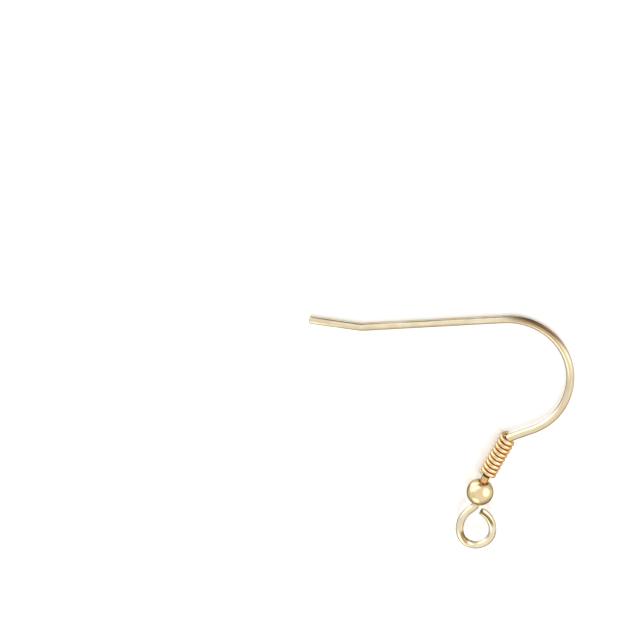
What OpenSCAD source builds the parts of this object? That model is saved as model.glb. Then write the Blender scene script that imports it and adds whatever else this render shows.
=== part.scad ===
// Ear wire: one length of round wire bent to a hook, with a wound coil and a bead on it.
// It lies as it comes to rest on a flat surface. X and Y run along the surface and Z is up.
// The hook is drawn flat round the middle of the bead, with its core up Y, then laid down.

/* [Wire] */
// Diameter of the round hook wire
wire_d = 0.72; // [0.5:0.02:0.8]
// Bevel filed on the free end of the leg
tip_bevel = 0.05; // [0.02:0.01:0.1]

/* [Bead] */
// Outer diameter of the bead
bead_d = 2.5; // [2:0.1:4]
// Play all round between the wire and the bead's bore
bead_play = 0.04; // [0.03:0.01:0.1]
// Width of the bevel at both mouths of the bead's bore
bead_bevel = 0.08; // [0.04:0.01:0.15]

/* [Coil] */
// Diameter of the thin wire that the coil is wound from
coil_wire_d = 0.38; // [0.3:0.02:0.5]
// Play all round between the core and the inside of the coil
coil_play = 0.06; // [0.04:0.01:0.15]
// Gap between one winding and the next
coil_gap = 0.08; // [0.02:0.01:0.15]
// Part of a winding below the whole ones, in degrees
coil_foot_turn = 180; // [0:10:270]
// Whole windings under the shoulder
coil_windings = 8; // [4:1:14]
// Part of a winding that rises behind the shoulder, in degrees
coil_end_turn = 270; // [180:10:300]
// How far that part is sprung open, on top of its own pitch
coil_end_spring = 0.15; // [0:0.05:0.4]

/* [Core] */
// Straight wire between the bead and the slight crook above it
crook_rise = 0.2; // [0.1:0.05:1.5]
// Turn of the crook, in degrees
crook_turn = 9.5; // [4:0.5:20]
// Radius of the crook along the middle of the wire
crook_r = 2; // [1:0.1:4]
// Bare wire between the crook and the coil
coil_lift = 0.07; // [0.05:0.01:1]

/* [Bow] */
// Turn of the sharp shoulder out of the coil, in degrees
shoulder_turn = 43.5; // [35:0.5:50]
// Radius inside the bend at the shoulder
shoulder_in_r = 0.34; // [0.3:0.02:0.8]
// Straight wire between the shoulder and the bow
neck_len = 2.1; // [0.5:0.1:5]
// Radius of the bow's crown along the middle of the wire
bow_r = 6.2; // [5:0.1:8]

/* [Leg] */
// Straight wire from the bow to the kink
leg_len = 12.3; // [8:0.1:16]
// Turn of the kink, in degrees
kink_turn = 12.5; // [5:0.5:25]
// Radius of the kink along the middle of the wire
kink_r = 2.5; // [1:0.1:5]
// Straight wire from the kink to the free end
tip_len = 4.4; // [3:0.1:7]

/* [Eye] */
// Straight wire between the bead and the eye's first bend
eye_drop = 0.2; // [0.1:0.05:1]
// Turn of the eye's first bend, away from the loop, in degrees
eye_jog_turn = 34.5; // [25:0.5:40]
// Radius of the eye's first bend along the middle of the wire
eye_jog_r = 0.7; // [0.5:0.05:1.2]
// Straight wire between the first bend and the loop
eye_jog_len = 0.4; // [0.2:0.05:1]
// Radius of the loop's round part along the middle of the wire
eye_r = 1.52; // [1.3:0.02:2.4]
// Straight wire at the loop's cut end
eye_end_len = 0.2; // [0.1:0.05:0.5]

/* [Hidden] */
$fn = 48;

wire_r = wire_d / 2;
bead_r = bead_d / 2;
bore_r = wire_r + bead_play;
// Height of the flat mouths of the bore above the middle of the bead
bead_half = sqrt(bead_r * bead_r - bore_r * bore_r);
coil_wire_r = coil_wire_d / 2;
coil_mean_r = wire_r + coil_play + coil_wire_r;
coil_pitch = coil_wire_d + coil_gap;
coil_start = coil_lift + coil_wire_r + coil_pitch * coil_foot_turn / 360;
coil_top_turn = 360 * coil_windings;
coil_turn = coil_foot_turn + coil_top_turn + coil_end_turn;
coil_run = coil_start + coil_pitch * coil_windings;
shoulder_r = shoulder_in_r + wire_r;

// Columns of an arc table: its turn in degrees, and its radius as a share of a named radius
ARC_TURN = 0;
ARC_SHARE = 1;
// Bow from the neck to the leg, as shares of bow_r
BOW_ARCS = [[46.5, 0.8], [86, 1], [29, 0.94]];
// Loop of the eye from its first bend to its cut end, as shares of eye_r
EYE_ARCS = [[70, 1.68], [152, 1], [60, 1.61]];

// Columns of a bend: straight wire before it, its turn in degrees, left being more, its radius
RUN = 0;
TURN = 1;
RADIUS = 2;
// Arcs that follow each other, the first one after a straight run
function arcs_after(run, arcs, unit) = [
    for (i = [0:len(arcs) - 1]) [i == 0 ? run : 0, arcs[i][ARC_TURN], arcs[i][ARC_SHARE] * unit]
];
// Bends from the middle of the bead up through the coil and over the bow to the kink
HOOK_BENDS = concat(
    [[bead_half + crook_rise, -crook_turn, crook_r], [coil_run, -shoulder_turn, shoulder_r]],
    arcs_after(neck_len, BOW_ARCS, bow_r),
    [[leg_len, -kink_turn, kink_r]]
);
// Bends from the middle of the bead down round the eye to its cut end
EYE_BENDS = concat(
    [[bead_half + eye_drop, -eye_jog_turn, eye_jog_r]],
    arcs_after(eye_jog_len, EYE_ARCS, eye_r),
    [[eye_end_len, 0, 0]]
);

// A place on the wire's middle line is its x, its y and its heading in degrees
function ahead(at, dist) = [at.x + dist * cos(at.z), at.y + dist * sin(at.z), at.z];
function turned(at, turn, radius) = let (side = sign(turn) * radius, to = at.z + turn) [
    at.x + side * (sin(to) - sin(at.z)), at.y + side * (cos(at.z) - cos(to)), to
];
function after(at, bend) = turned(ahead(at, bend[RUN]), bend[TURN], bend[RADIUS]);
function starts(bends, at, i = 0) =
    i == len(bends) ? [at] : concat([at], starts(bends, after(at, bends[i]), i + 1));
// Places along a run of bends, with one every few degrees round each of them
STEP_TURN = 8;
function places(bends, at) = let (from = starts(bends, at)) concat([at], [
    for (i = [0:len(bends) - 1]) let (bend = bends[i], steps = ceil(abs(bend[TURN]) / STEP_TURN))
        for (k = [bend[RUN] > 0 ? 0 : 1:steps])
            turned(ahead(from[i], bend[RUN]), bend[TURN] * k / max(steps, 1), bend[RADIUS])
]);
HOOK_PLACES = places(HOOK_BENDS, [0, 0, 90]);
EYE_PLACES = places(EYE_BENDS, [0, 0, -90]);
// The whole middle line, from the cut end of the eye to the start of the straight tip
WIRE_PLACES = concat(
    [for (i = [len(EYE_PLACES) - 1:-1:1]) EYE_PLACES[i] + [0, 0, 180]],
    HOOK_PLACES
);
crook_place = starts(HOOK_BENDS, [0, 0, 90])[1];
kink_place = HOOK_PLACES[len(HOOK_PLACES) - 1];
tip_place = ahead(kink_place, tip_len);

// At rest the bead, the tip and the far side of the bow touch the surface. The height of a
// place is slope_x * x + slope_y * y + bead_r, which is wire_r at the tip and at the bow.
function bow_slope(at) = let (share = at.y / tip_place.y, reach = at.x - tip_place.x * share)
    reach > bow_r ? (wire_r - bead_r) * (1 - share) / reach : -1;
slope_x = max([for (at = HOOK_PLACES) bow_slope(at)]);
slope_y = (wire_r - bead_r - slope_x * tip_place.x) / tip_place.y;
lean = asin(norm([slope_x, slope_y]));

// Middle of the hook's outline, which the origin lies under
OUTLINE = concat(WIRE_PLACES, [tip_place]);
low_x = min([for (at = OUTLINE) at.x - wire_r * abs(sin(at.z))]);
high_x = max([for (at = OUTLINE) at.x + wire_r * abs(sin(at.z))]);
low_y = min([for (at = OUTLINE) at.y - wire_r * abs(cos(at.z))]);
high_y = max([for (at = OUTLINE) at.y + wire_r * abs(cos(at.z))]);

// Lays a piece drawn flat round the bead down on the surface
module at_rest() {
    translate([-(low_x + high_x) / 2, -(low_y + high_y) / 2, bead_r])
        rotate(a = lean, v = [slope_y, -slope_x, 0])
            children();
}

// Walls and ends of a tube whose points are rings of the same number of sides
function tube_faces(rings, sides) = concat(
    [for (i = [0:rings - 2], j = [0:sides - 1]) let (next = (j + 1) % sides)
        [i * sides + j, (i + 1) * sides + j, (i + 1) * sides + next, i * sides + next]],
    [[for (j = [0:sides - 1]) j], [for (j = [sides - 1:-1:0]) (rings - 1) * sides + j]]
);
// Corner radius of a polygon as large as a circle of that radius
function corner_r(radius, sides) = radius * sqrt(2 * PI / (sides * sin(360 / sides)));

// Corners round the bent wire, one ring at each place, and one more a little way into the tip
WIRE_SIDES = 12;
tip_lap = wire_r / 2;
WIRE_RINGS = concat(WIRE_PLACES, [ahead(kink_place, tip_lap)]);
wire_corner_r = corner_r(wire_r, WIRE_SIDES);
wire_points = [
    for (at = WIRE_RINGS, j = [0:WIRE_SIDES - 1]) let (side = 360 * j / WIRE_SIDES)
        [at.x, at.y, 0] + wire_corner_r * [-sin(at.z) * cos(side), cos(at.z) * cos(side), sin(side)]
];

// One wire from its filed tip over the bow, through coil and bead, and round the open eye
module hook_wire() {
    color([0.86, 0.74, 0.5])
        at_rest() {
            polyhedron(points = wire_points, faces = tube_faces(len(WIRE_RINGS), WIRE_SIDES));
            translate([kink_place.x, kink_place.y, 0])
                rotate([0, 90, kink_place.z]) {
                    cylinder(h = tip_len - tip_bevel, r = wire_r);
                    translate([0, 0, tip_len - tip_bevel])
                        cylinder(h = tip_bevel, r1 = wire_r, r2 = wire_r - tip_bevel);
                }
        }
}

// Corners round the coil's thin wire, which winds to the left as it rises
COIL_STEPS = 20;
COIL_SIDES = 8;
coil_rings = ceil(COIL_STEPS * coil_turn / 360);
coil_corner_r = corner_r(coil_wire_r, COIL_SIDES);
// Climb of the thin wire at an angle round the core, steeper where its end is sprung open
function coil_climb(round) = coil_pitch * round / 360
    + coil_end_spring * pow(max(0, round - coil_top_turn) / coil_end_turn, 2);
function coil_place(round) = [coil_mean_r * cos(round), coil_climb(round), coil_mean_r * sin(round)];
function coil_point(round, side) = let (
    out = [cos(round), 0, sin(round)],
    along = coil_place(round + 1) - coil_place(round - 1),
    over = cross(along / norm(along), out)
) coil_place(round) + coil_corner_r * (cos(side) * out + sin(side) * over);
coil_points = [
    for (i = [0:coil_rings], j = [0:COIL_SIDES - 1])
        coil_point(coil_turn * i / coil_rings - coil_foot_turn, 360 * j / COIL_SIDES)
];

// Thin wire wound round the core, on the straight stretch between the crook and the shoulder
module coil() {
    color([0.9, 0.7, 0.46])
        at_rest()
            translate([crook_place.x, crook_place.y, 0])
                rotate([0, 0, crook_place.z - 90])
                    translate([0, coil_start, 0])
                        polyhedron(points = coil_points, faces = tube_faces(coil_rings + 1, COIL_SIDES));
}

// Round bead drilled through for the wire, with both mouths of the bore bevelled
module bead() {
    color([0.84, 0.72, 0.46])
        at_rest()
            rotate([-90, 0, 0])
                difference() {
                    sphere(r = bead_r, $fn = 96);
                    translate([0, 0, -bead_r])
                        cylinder(h = bead_d, r = bore_r);
                    for (end = [0, 1])
                        mirror([0, 0, end])
                            translate([0, 0, bead_half - bead_bevel])
                                cylinder(h = 2 * bead_bevel, r1 = bore_r, r2 = bore_r + 2 * bead_bevel);
                }
}

hook_wire();
coil();
bead();
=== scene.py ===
import math

import bmesh
import bpy
from mathutils import Matrix, Vector


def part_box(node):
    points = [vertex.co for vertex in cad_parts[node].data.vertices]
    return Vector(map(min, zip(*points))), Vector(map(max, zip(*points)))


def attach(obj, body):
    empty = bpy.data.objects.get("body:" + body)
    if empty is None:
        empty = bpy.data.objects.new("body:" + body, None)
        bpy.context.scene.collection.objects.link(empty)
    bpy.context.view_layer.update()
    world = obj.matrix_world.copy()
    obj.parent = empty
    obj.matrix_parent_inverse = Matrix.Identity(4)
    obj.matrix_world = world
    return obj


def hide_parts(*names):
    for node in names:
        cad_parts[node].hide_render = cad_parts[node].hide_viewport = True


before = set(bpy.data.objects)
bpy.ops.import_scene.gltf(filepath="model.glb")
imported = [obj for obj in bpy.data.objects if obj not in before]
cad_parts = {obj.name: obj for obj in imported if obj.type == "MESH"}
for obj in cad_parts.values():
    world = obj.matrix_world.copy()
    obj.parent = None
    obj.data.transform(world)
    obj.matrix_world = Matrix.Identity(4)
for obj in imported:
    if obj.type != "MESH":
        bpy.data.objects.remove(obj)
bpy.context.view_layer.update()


# Hook wire: one length of hard-drawn round brass wire, plated pale gold and tumbled bright.
# Its tip is filed, the tail is kinked, the bow is bent round a peg and the shoulder over an
# edge. The eye is turned last with round pliers, after the coil and the bead are threaded on.
# Lengths are in millimetres and turns in degrees, left being more. The wire is drawn flat,
# from the middle of the bead, with its core up Y, and is then laid down as it rests.
MM = 0.001
WIRE_R = 0.36
BEAD_R = 1.25
BORE_R = 0.4
# From the middle of the bead to the flat mouths of its bore
BEAD_HALF = math.sqrt(BEAD_R ** 2 - BORE_R ** 2)
# Slope of the wire's own plane as it lies on its bead, its tip and the far side of its bow
LAY_SLOPE = (0.013049, -0.04829)
# Straight stretch of the core from the crook through the coil
COIL_STRETCH = 4.17
BOW_R = 6.2
EYE_R = 1.52
# A straight run, then a bend: its turn, and its radius along the middle of the wire
CROOK = (BEAD_HALF + 0.2, -9.5, 2.0)
HOOK_BENDS = [
    CROOK,
    (COIL_STRETCH, -43.5, 0.7),
    (2.1, 46.5, 0.8 * BOW_R),
    (0.0, 86.0, BOW_R),
    (0.0, 29.0, 0.94 * BOW_R),
    (12.3, -12.5, 2.5),
    (4.4, 0.0, 0.0),
]
EYE_BENDS = [
    (BEAD_HALF + 0.2, -34.5, 0.7),
    (0.4, 70.0, 1.68 * EYE_R),
    (0.0, 152.0, EYE_R),
    (0.0, 60.0, 1.61 * EYE_R),
    (0.2, 0.0, 0.0),
]
WIRE_SIDES = 40
DEGREES_A_RING = 2.5
TIP_FILING = 0.05
SHEARED_EDGE = 0.035
ROUNDING_STEPS = 4


def lay_down(bm):
    """Turns what is drawn flat round the bead down onto the surface, in metres."""
    low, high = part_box("bead")
    slope_x, slope_y = LAY_SLOPE
    lean = math.asin(math.hypot(slope_x, slope_y))
    laid = (Matrix.Translation((low + high) / 2)
            @ Matrix.Rotation(lean, 4, Vector((slope_y, -slope_x, 0)))
            @ Matrix.Scale(MM, 4))
    bmesh.ops.transform(bm, matrix=laid, verts=bm.verts)


def draw_wire_on(bm, rim, drawn, move, length):
    """Extrudes the open rim of a wire and moves it. drawn keeps how far along a point lies."""
    made = bmesh.ops.extrude_edge_only(bm, edges=rim)["geom"]
    points = [g for g in made if isinstance(g, bmesh.types.BMVert)]
    bmesh.ops.transform(bm, matrix=move, verts=points)
    for point in points:
        point[drawn] = point[drawn] + Vector((0, 0, length))
    fresh = set(points)
    return [g for g in made if isinstance(g, bmesh.types.BMEdge)
            and g.verts[0] in fresh and g.verts[1] in fresh]


def bend_wire(bm, rim, drawn, heading, bends):
    """Draws the wire on through straight runs and bends, and returns its open rim."""
    way = 1 if heading > 0 else -1
    for run, turn, radius in bends:
        if run:
            ahead = Vector((math.cos(math.radians(heading)), math.sin(math.radians(heading)), 0))
            rim = draw_wire_on(bm, rim, drawn, Matrix.Translation(ahead * run), way * run)
        if turn:
            left = Vector((-math.sin(math.radians(heading)), math.cos(math.radians(heading)), 0))
            middle = sum((v.co for e in rim for v in e.verts), Vector()) / (2 * len(rim))
            peg = Matrix.Translation(middle + left * math.copysign(radius, turn))
            steps = math.ceil(abs(turn) / DEGREES_A_RING)
            step = math.radians(turn / steps)
            move = peg @ Matrix.Rotation(step, 4, "Z") @ peg.inverted()
            for _ in range(steps):
                rim = draw_wire_on(bm, rim, drawn, move, way * radius * abs(step))
            heading += turn
    return rim


def cap_wire(bm, rim, rounding):
    """Closes the end of a wire and rounds off its edge."""
    bmesh.ops.edgeloop_fill(bm, edges=rim)
    bmesh.ops.bevel(bm, geom=rim, offset=rounding, offset_type="OFFSET",
                    segments=ROUNDING_STEPS, profile=0.5, affect="EDGES", material=-1,
                    clamp_overlap=True)


def finish_piece(bm, name):
    """Makes a smooth mesh object of what was drawn, and lets it ride on the one body."""
    bmesh.ops.recalc_face_normals(bm, faces=bm.faces)
    for face in bm.faces:
        face.smooth = True
    mesh = bpy.data.meshes.new(name)
    bm.to_mesh(mesh)
    bm.free()
    piece = bpy.data.objects.new(name, mesh)
    bpy.context.scene.collection.objects.link(piece)
    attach(piece, "root")
    return piece


bm = bmesh.new()
# How a point lies in the straight wire: across it, above its middle, and along it
drawn = bm.verts.layers.float_vector.new("drawn")
bmesh.ops.create_circle(bm, segments=WIRE_SIDES, radius=WIRE_R,
                        matrix=Matrix.Rotation(math.radians(90), 4, "X"))
for point in bm.verts:
    point[drawn] = Vector((point.co.x, point.co.z, 0))
core = list(bm.edges)
tip_rim = bend_wire(bm, core, drawn, 90, HOOK_BENDS)
eye_rim = bend_wire(bm, core, drawn, -90, EYE_BENDS)
cap_wire(bm, tip_rim, TIP_FILING)
cap_wire(bm, eye_rim, SHEARED_EDGE)
lay_down(bm)
hook_wire = finish_piece(bm, "hook_wire_plated")


# Painted shade and painted dark reflections on the wire: where each starts and ends along the
# wire, how softly it does, where it sets in and is full across the wire, where it fades and ends
# across it if it isn't full as far as the edge, and its colour.
ALL_ROUND = (-1.0, -0.9)
# Painted dark reflection, a wide band along the middle of the bow
PAINTED_REFLECTION_ON_BOW = (17.2, 25.5, 3.0, (-0.09, 0.02), (0.5, 0.35, 0.2))
# Painted dark reflection, a narrow band along the outer side of the bow
PAINTED_REFLECTION_ON_BOW_EDGE = (16.8, 25.5, 4.0, (0.08, 0.18, 0.26, 0.33), (0.1, 0.06, 0.025))
# Painted dark reflection across the end of the eye
PAINTED_REFLECTION_AT_EYE_END = (-12.8, -10.0, 0.8, (-0.24, -0.12, 0.06, 0.16), (0.27, 0.2, 0.07))
# Painted dark reflection on the inner side of the eye
PAINTED_REFLECTION_IN_EYE = (-6.5, -4.4, 0.5, (0.0, 0.1), (0.32, 0.21, 0.1))
# Painted reflection of the bead and the coil, brown all round the neck
PAINTED_REFLECTION_ON_NECK = (0.9, 2.6, 0.25, ALL_ROUND, (0.82, 0.52, 0.22))
# Painted shadow on the wire just under the coil
PAINTED_SHADOW_UNDER_THE_COIL = (1.72, 2.35, 0.12, ALL_ROUND, (0.1, 0.055, 0.02))
# Painted shade on the core where it runs inside the coil
PAINTED_SHADE_ON_THE_CORE_IN_THE_COIL = (2.2, 5.7, 0.15, ALL_ROUND, (0.45, 0.28, 0.13))
# Painted shadow deep in the coil's mouth, on one side of the wire
PAINTED_SHADOW_IN_THE_COIL_MOUTH = (5.3, 6.25, 0.2, (-0.12, -0.24), (0.06, 0.035, 0.012))


def ramp(nodes, links, source, low, high, low_value, high_value):
    """Turns what comes between low and high into what lies between the two values, softly."""
    step = nodes.new("ShaderNodeMapRange")
    step.interpolation_type = "SMOOTHSTEP"
    step.inputs["From Min"].default_value = low
    step.inputs["From Max"].default_value = high
    step.inputs["To Min"].default_value = low_value
    step.inputs["To Max"].default_value = high_value
    links.new(source, step.inputs["Value"])
    return step.outputs["Result"]


def times(nodes, links, first, second):
    """Multiplies two strengths."""
    product = nodes.new("ShaderNodeMath")
    product.operation = "MULTIPLY"
    links.new(first, product.inputs[0])
    links.new(second, product.inputs[1])
    return product.outputs["Value"]


def blended(nodes, links, share, first, second):
    """Goes from the first colour to the second one by a share."""
    mix = nodes.new("ShaderNodeMix")
    mix.data_type = "RGBA"
    for colour, side in ((first, "A"), (second, "B")):
        if isinstance(colour, tuple):
            mix.inputs[side].default_value = (*colour, 1)
        else:
            links.new(colour, mix.inputs[side])
    links.new(share, mix.inputs["Factor"])
    return mix.outputs["Result"]


def noise(nodes, links, place, stretch, scale, detail):
    """Gives a noise whose grain is stretched by scaling the place that it reads."""
    stretched = nodes.new("ShaderNodeMapping")
    stretched.inputs["Scale"].default_value = stretch
    links.new(place, stretched.inputs["Vector"])
    grain = nodes.new("ShaderNodeTexNoise")
    grain.inputs["Scale"].default_value = scale
    grain.inputs["Detail"].default_value = detail
    links.new(stretched.outputs["Vector"], grain.inputs["Vector"])
    return grain.outputs["Fac"]


# Grains to a millimetre round the wire, and how far they are drawn out along it
FINE_LINES = 14.0
BROAD_LINES = 4.5
TONE_SWINGS = 0.9
DRAWN_OUT = (1.0, 1.0, 0.02)
EVEN = (1.0, 1.0, 1.0)
# How much of the deeper colour the lines and the swings show, and how dull the lines are
FINE_LINE_WEAR = 0.35
BROAD_LINE_WEAR = 0.55
TONE_SHARE = 0.4
LINE_DULLNESS = 0.12
LINE_STRENGTH = 0.5
# From where to where in its noise a swing, a worn line or a dull mark comes up
SWING_SHOWS = (0.35, 0.7)
WEAR_SHOWS = (0.47, 0.62)
DULL_MARK_SHOWS = (0.3, 0.75)


def plated_gold(name, colour, deep_colour, edge_tint, polish, line_height, painted_shade_places):
    """Polished gold plate on drawn wire: drawing lines along it, slow swings of its tone, and
    painted shade and dark reflections at the given places.
    """
    material = bpy.data.materials.new(name)
    material.use_nodes = True
    nodes, links = material.node_tree.nodes, material.node_tree.links
    plate = nodes["Principled BSDF"]
    plate.inputs["Metallic"].default_value = 1.0
    plate.inputs["Specular Tint"].default_value = (*edge_tint, 1)
    along = nodes.new("ShaderNodeAttribute")
    along.attribute_name = "drawn"
    place = along.outputs["Vector"]
    fine_lines = noise(nodes, links, place, DRAWN_OUT, FINE_LINES, detail=3.0)
    broad_lines = noise(nodes, links, place, DRAWN_OUT, BROAD_LINES, detail=1.0)
    tone = noise(nodes, links, place, EVEN, TONE_SWINGS, detail=3.0)
    deep = ramp(nodes, links, tone, *SWING_SHOWS, 0.0, TONE_SHARE)
    shade = blended(nodes, links, deep, colour, deep_colour)
    for lines, wear in ((fine_lines, FINE_LINE_WEAR), (broad_lines, BROAD_LINE_WEAR)):
        worn = ramp(nodes, links, lines, *WEAR_SHOWS, 0.0, wear)
        shade = blended(nodes, links, worn, shade, deep_colour)
    roughness = ramp(nodes, links, fine_lines, *DULL_MARK_SHOWS, polish, polish + LINE_DULLNESS)
    parts = nodes.new("ShaderNodeSeparateXYZ")
    links.new(place, parts.inputs["Vector"])
    across, length = parts.outputs["X"], parts.outputs["Z"]
    # Painted shade and dark reflections, each laid over the plate's colour
    for start, end, soft, side, painted_shade_colour in painted_shade_places:
        share = times(nodes, links, ramp(nodes, links, length, start, start + soft, 0.0, 1.0),
                      ramp(nodes, links, length, end - soft, end, 1.0, 0.0))
        share = times(nodes, links, share, ramp(nodes, links, across, *side[:2], 0.0, 1.0))
        if side[2:]:
            share = times(nodes, links, share, ramp(nodes, links, across, *side[2:], 1.0, 0.0))
        shade = blended(nodes, links, share, shade, painted_shade_colour)
    links.new(shade, plate.inputs["Base Color"])
    links.new(roughness, plate.inputs["Roughness"])
    height = nodes.new("ShaderNodeMath")
    height.operation = "ADD"
    links.new(fine_lines, height.inputs[0])
    links.new(broad_lines, height.inputs[1])
    grooves = nodes.new("ShaderNodeBump")
    grooves.inputs["Strength"].default_value = LINE_STRENGTH
    grooves.inputs["Distance"].default_value = line_height * MM
    links.new(height.outputs["Value"], grooves.inputs["Height"])
    links.new(grooves.outputs["Normal"], plate.inputs["Normal"])
    return material


hook_wire.data.materials.append(plated_gold(
    "pale_gold_plate", colour=(0.96, 0.86, 0.64), deep_colour=(0.76, 0.6, 0.36),
    edge_tint=(0.5, 0.36, 0.2), polish=0.05, line_height=0.03,
    painted_shade_places=(PAINTED_REFLECTION_ON_BOW, PAINTED_REFLECTION_ON_BOW_EDGE, PAINTED_REFLECTION_AT_EYE_END, PAINTED_REFLECTION_IN_EYE, PAINTED_REFLECTION_ON_NECK,
                 PAINTED_SHADE_ON_THE_CORE_IN_THE_COIL, PAINTED_SHADOW_UNDER_THE_COIL, PAINTED_SHADOW_IN_THE_COIL_MOUTH)))
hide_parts("hook_wire")


# Coil: thin soft wire wound to the left round the core on a mandrel, nearly close, and cut
# off at both ends, its last part sprung open behind the shoulder. Its plate is a little redder
# than the hook's. It is threaded on loose, between the crook above the bead and the shoulder.
COIL_WIRE_R = 0.19
COIL_R = 0.61
COIL_PITCH = 0.46
COIL_START = 0.26
COIL_FOOT_TURN = 180
COIL_WINDINGS = 8
COIL_END_TURN = 270
COIL_END_SPRING = 0.15
COIL_SIDES = 24
DEGREES_A_COIL_RING = 9
# Painted shade on the inner side of the windings, all the way along
PAINTED_SHADE_INSIDE_THE_WINDINGS = (-1.0, 99.0, 0.5, (-0.07, -0.16), (0.66, 0.44, 0.22))

bm = bmesh.new()
drawn = bm.verts.layers.float_vector.new("drawn")
climb = math.atan2(COIL_PITCH, 2 * math.pi * COIL_R)
bmesh.ops.create_circle(bm, segments=COIL_SIDES, radius=COIL_WIRE_R)
for point in bm.verts:
    point[drawn] = Vector((point.co.x, point.co.y, 0))
bmesh.ops.transform(
    bm, verts=bm.verts,
    matrix=Matrix.Rotation(math.radians(COIL_FOOT_TURN), 4, "Y")
    @ Matrix.Translation((COIL_R, COIL_START, 0)) @ Matrix.Rotation(-climb, 4, "X"))
foot = list(bm.edges)
rim = foot
ring_turn = Matrix.Rotation(-math.radians(DEGREES_A_COIL_RING), 4, "Y")
ring_share = DEGREES_A_COIL_RING / 360
ring_length = math.hypot(2 * math.pi * COIL_R, COIL_PITCH) * ring_share
rings = (COIL_FOOT_TURN + 360 * COIL_WINDINGS) // DEGREES_A_COIL_RING
end_rings = COIL_END_TURN // DEGREES_A_COIL_RING
for ring in range(rings + end_rings):
    rise = COIL_PITCH * ring_share
    if ring >= rings:
        rise += COIL_END_SPRING * (2 * (ring - rings) + 1) / end_rings ** 2
    rim = draw_wire_on(bm, rim, drawn, Matrix.Translation((0, rise, 0)) @ ring_turn, ring_length)
cap_wire(bm, foot, SHEARED_EDGE)
cap_wire(bm, rim, SHEARED_EDGE)
crook_run, crook_turn, crook_r = CROOK
bmesh.ops.transform(
    bm, verts=bm.verts,
    matrix=Matrix.Translation((crook_r, crook_run, 0))
    @ Matrix.Rotation(math.radians(crook_turn), 4, "Z") @ Matrix.Translation((-crook_r, 0, 0)))
lay_down(bm)
coil = finish_piece(bm, "coil_plated")
coil.data.materials.append(plated_gold(
    "warm_gold_plate", colour=(0.92, 0.7, 0.43), deep_colour=(0.82, 0.54, 0.27),
    edge_tint=(0.9, 0.7, 0.45), polish=0.06, line_height=0.012,
    painted_shade_places=(PAINTED_SHADE_INSIDE_THE_WINDINGS,)))
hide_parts("coil")


# Bead: a brass ball, drilled through for the core, plated pale gold and polished to a mirror.
# Both mouths of its bore are bevelled. It is threaded on loose above the eye.
BORE_BEVEL = 0.08
MERIDIANS = 128
PARALLELS = 72
MERGED_WITHIN = 0.0001
BEAD_GOLD = (0.88, 0.71, 0.43)
DEEP_BEAD_GOLD = (0.83, 0.63, 0.34)
BEAD_EDGE_TINT = (0.4, 0.27, 0.13)
# How far from the axis of the bore the plate is rubbed, fully and then not at all
MOUTH_WEAR = (0.5, 0.68)
RUBBED_GOLD = (0.62, 0.43, 0.2)
BEAD_ROUGHNESS = (0.06, 0.16)
BEAD_TONE_SWINGS = 0.8
BEAD_TONE_SHARE = 0.6
# The marks that tumbling left, to a millimetre, and how they are drawn out round the ball
BEAD_MARKS = 9.0
ROUND_THE_BALL = (0.35, 0.35, 2.2)
BEAD_MARK_STRENGTH = 0.25
BEAD_MARK_HEIGHT = 0.004

bm = bmesh.new()
# The outer curve from mouth to mouth, then the bevels and the bore that join its two ends
mouth_r = BORE_R + BORE_BEVEL
mouth_y = math.sqrt(BEAD_R ** 2 - mouth_r ** 2)
first = bm.verts.new((mouth_r, -mouth_y, 0))
reach = 2 * math.asin(mouth_y / BEAD_R)
curve = bmesh.ops.spin(bm, geom=[first], cent=(0, 0, 0), axis=(0, 0, 1), angle=reach,
                       steps=PARALLELS, use_duplicate=False)["geom_last"]
last = next(g for g in curve if isinstance(g, bmesh.types.BMVert))
inner = [bm.verts.new((BORE_R, mouth_y - BORE_BEVEL, 0)),
         bm.verts.new((BORE_R, -mouth_y + BORE_BEVEL, 0))]
for corner, next_corner in ((last, inner[0]), (inner[0], inner[1]), (inner[1], first)):
    bm.edges.new((corner, next_corner))
bmesh.ops.spin(bm, geom=bm.verts[:] + bm.edges[:], cent=(0, 0, 0), axis=(0, 1, 0),
               angle=2 * math.pi, steps=MERIDIANS, use_merge=True, use_duplicate=False)
bmesh.ops.remove_doubles(bm, verts=bm.verts, dist=MERGED_WITHIN)
# How a point lies on the bead: across the bore, above it, and along it
about_bore = bm.verts.layers.float_vector.new("about_bore")
for point in bm.verts:
    point[about_bore] = Vector((point.co.x, point.co.z, point.co.y))
lay_down(bm)
bead = finish_piece(bm, "bead_plated")

bead_plate = bpy.data.materials.new("mirror_gold_plate")
bead_plate.use_nodes = True
nodes, links = bead_plate.node_tree.nodes, bead_plate.node_tree.links
plate = nodes["Principled BSDF"]
plate.inputs["Metallic"].default_value = 1.0
plate.inputs["Specular Tint"].default_value = (*BEAD_EDGE_TINT, 1)
about = nodes.new("ShaderNodeAttribute")
about.attribute_name = "about_bore"
place = about.outputs["Vector"]
# Tumbling leaves slow swings of tone and the finest of marks that run round the ball
tone = noise(nodes, links, place, EVEN, BEAD_TONE_SWINGS, detail=2.0)
marks = noise(nodes, links, place, ROUND_THE_BALL, BEAD_MARKS, detail=4.0)
deep = ramp(nodes, links, tone, *SWING_SHOWS, 0.0, BEAD_TONE_SHARE)
shade = blended(nodes, links, deep, BEAD_GOLD, DEEP_BEAD_GOLD)
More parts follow.
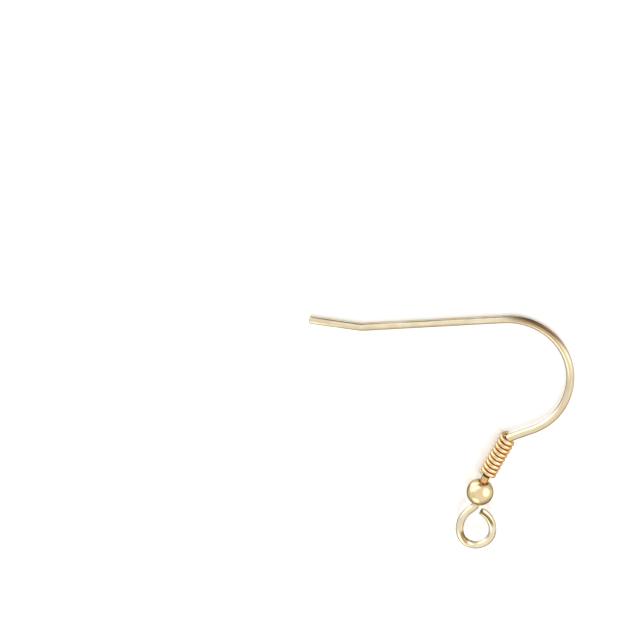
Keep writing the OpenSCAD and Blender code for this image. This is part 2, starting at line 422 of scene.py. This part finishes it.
# The wire and the coil rub at the mouths of the bore
level = nodes.new("ShaderNodeVectorMath")
level.operation = "MULTIPLY"
level.inputs[1].default_value = (1, 1, 0)
links.new(place, level.inputs[0])
off_bore = nodes.new("ShaderNodeVectorMath")
off_bore.operation = "LENGTH"
links.new(level.outputs["Vector"], off_bore.inputs[0])
rubbed = ramp(nodes, links, off_bore.outputs["Value"], *MOUTH_WEAR, 1.0, 0.0)
shade = blended(nodes, links, rubbed, shade, RUBBED_GOLD)
links.new(shade, plate.inputs["Base Color"])
roughness = ramp(nodes, links, marks, *DULL_MARK_SHOWS, *BEAD_ROUGHNESS)
links.new(roughness, plate.inputs["Roughness"])
fine_marks = nodes.new("ShaderNodeBump")
fine_marks.inputs["Strength"].default_value = BEAD_MARK_STRENGTH
fine_marks.inputs["Distance"].default_value = BEAD_MARK_HEIGHT * MM
links.new(marks, fine_marks.inputs["Height"])
links.new(fine_marks.outputs["Normal"], plate.inputs["Normal"])
bead.data.materials.append(bead_plate)
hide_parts("bead")


# Surface: a sheet of glossy opal acrylic, lit a little from beneath as on a light table. The
# plate doesn't mirror it, so that the sides of the wire stay gold beside its white.
SHEET_SIZE = 3.0
bm = bmesh.new()
bmesh.ops.create_grid(bm, x_segments=1, y_segments=1, size=SHEET_SIZE / 2)
mesh = bpy.data.meshes.new("white_sheet")
bm.to_mesh(mesh)
bm.free()
sheet = bpy.data.objects.new("white_sheet", mesh)
bpy.context.scene.collection.objects.link(sheet)
acrylic = bpy.data.materials.new("white_acrylic")
acrylic.use_nodes = True
gloss_white = acrylic.node_tree.nodes["Principled BSDF"]
gloss_white.inputs["Base Color"].default_value = (0.8, 0.8, 0.8, 1)
gloss_white.inputs["Metallic"].default_value = 0.4
gloss_white.inputs["Roughness"].default_value = 0.34
gloss_white.inputs["IOR"].default_value = 1.5
gloss_white.inputs["Emission Color"].default_value = (1, 1, 1, 1)
gloss_white.inputs["Emission Strength"].default_value = 0.35
mesh.materials.append(acrylic)
sheet.visible_glossy = False


# Light: a pale room with wide soft lamps round the ear wire, and darker gaps between them.
# What lies lower than the sheet is what the plate mirrors in place of it: its glow, and the
# shade behind the wire.
# Degrees from X round to the photograph's right
PHOTO_TURN = 15.04
ROOM_RADIANCE = 0.5
DARKEST_RADIANCE = 0.15
# Bearing from the photograph's right, height, clear half width, soft half width, radiance
LAMPS = {
    "ceiling": (55, 40, 70, 145, 0.45),
    "right": (20, 35, 5, 40, 1.3),
    "behind": (105, 15, 10, 20, 0.4),
    "back_left": (140, -10, 5, 50, 1.1),
    "left": (200, -5, 20, 35, 0.3),
    "front_left": (240, 25, 5, 30, 1.0),
    "gap_in_front": (300, 0, 25, 30, -0.2),
    "shade_behind": (85, -35, 30, 55, -0.8),
    "shade_at_right": (10, -25, 0, 20, -0.3),
    "glow_behind": (110, -55, 25, 45, 0.85),
}
room = bpy.data.worlds.new("pale_room")
room.use_nodes = True
nodes, links = room.node_tree.nodes, room.node_tree.links
direction = nodes.new("ShaderNodeTexCoord")
radiance = None
for bearing, height, clear, soft, strength in LAMPS.values():
    turn, rise = math.radians(bearing + PHOTO_TURN), math.radians(height)
    towards = nodes.new("ShaderNodeVectorMath")
    towards.operation = "DOT_PRODUCT"
    towards.inputs[1].default_value = (math.cos(turn) * math.cos(rise),
                                       math.sin(turn) * math.cos(rise), math.sin(rise))
    links.new(direction.outputs["Generated"], towards.inputs[0])
    glow = nodes.new("ShaderNodeMapRange")
    glow.interpolation_type = "SMOOTHSTEP"
    glow.inputs["From Min"].default_value = math.cos(math.radians(soft))
    glow.inputs["From Max"].default_value = math.cos(math.radians(clear))
    glow.inputs["To Min"].default_value = 0
    glow.inputs["To Max"].default_value = strength
    links.new(towards.outputs["Value"], glow.inputs["Value"])
    total = nodes.new("ShaderNodeMath")
    total.operation = "ADD"
    total.inputs[1].default_value = ROOM_RADIANCE
    links.new(glow.outputs["Result"], total.inputs[0])
    if radiance:
        links.new(radiance, total.inputs[1])
    radiance = total.outputs["Value"]
floor_of_room = nodes.new("ShaderNodeMath")
floor_of_room.operation = "MAXIMUM"
floor_of_room.inputs[1].default_value = DARKEST_RADIANCE
links.new(radiance, floor_of_room.inputs[0])
links.new(floor_of_room.outputs["Value"], nodes["Background"].inputs["Strength"])
nodes["Background"].inputs["Color"].default_value = (1, 1, 1, 1)
bpy.context.scene.world = room
bpy.context.scene.view_settings.view_transform = "Standard"


# Camera: above the surface, leaning back to the side of the bow, as the photograph was taken.
# The point of the surface that it looks at and its distance from there are in millimetres,
# and it leans by degrees from straight above that point.
LOOKED_AT = (-11.479, 6.953, 0)
DISTANCE = 160
PHOTO_LEAN = 28
lens = bpy.data.cameras.new("camera")
lens.sensor_width = 36
lens.lens = 100.81
lens.clip_start = 0.01
lens.clip_end = 20
camera = bpy.data.objects.new("camera", lens)
camera.matrix_world = (
    Matrix.Translation(Vector(LOOKED_AT) * MM)
    @ Matrix.Rotation(math.radians(PHOTO_TURN), 4, "Z")
    @ Matrix.Rotation(math.radians(-PHOTO_LEAN), 4, "X")
    @ Matrix.Translation((0, 0, DISTANCE * MM)))
bpy.context.scene.collection.objects.link(camera)
bpy.context.scene.camera = camera
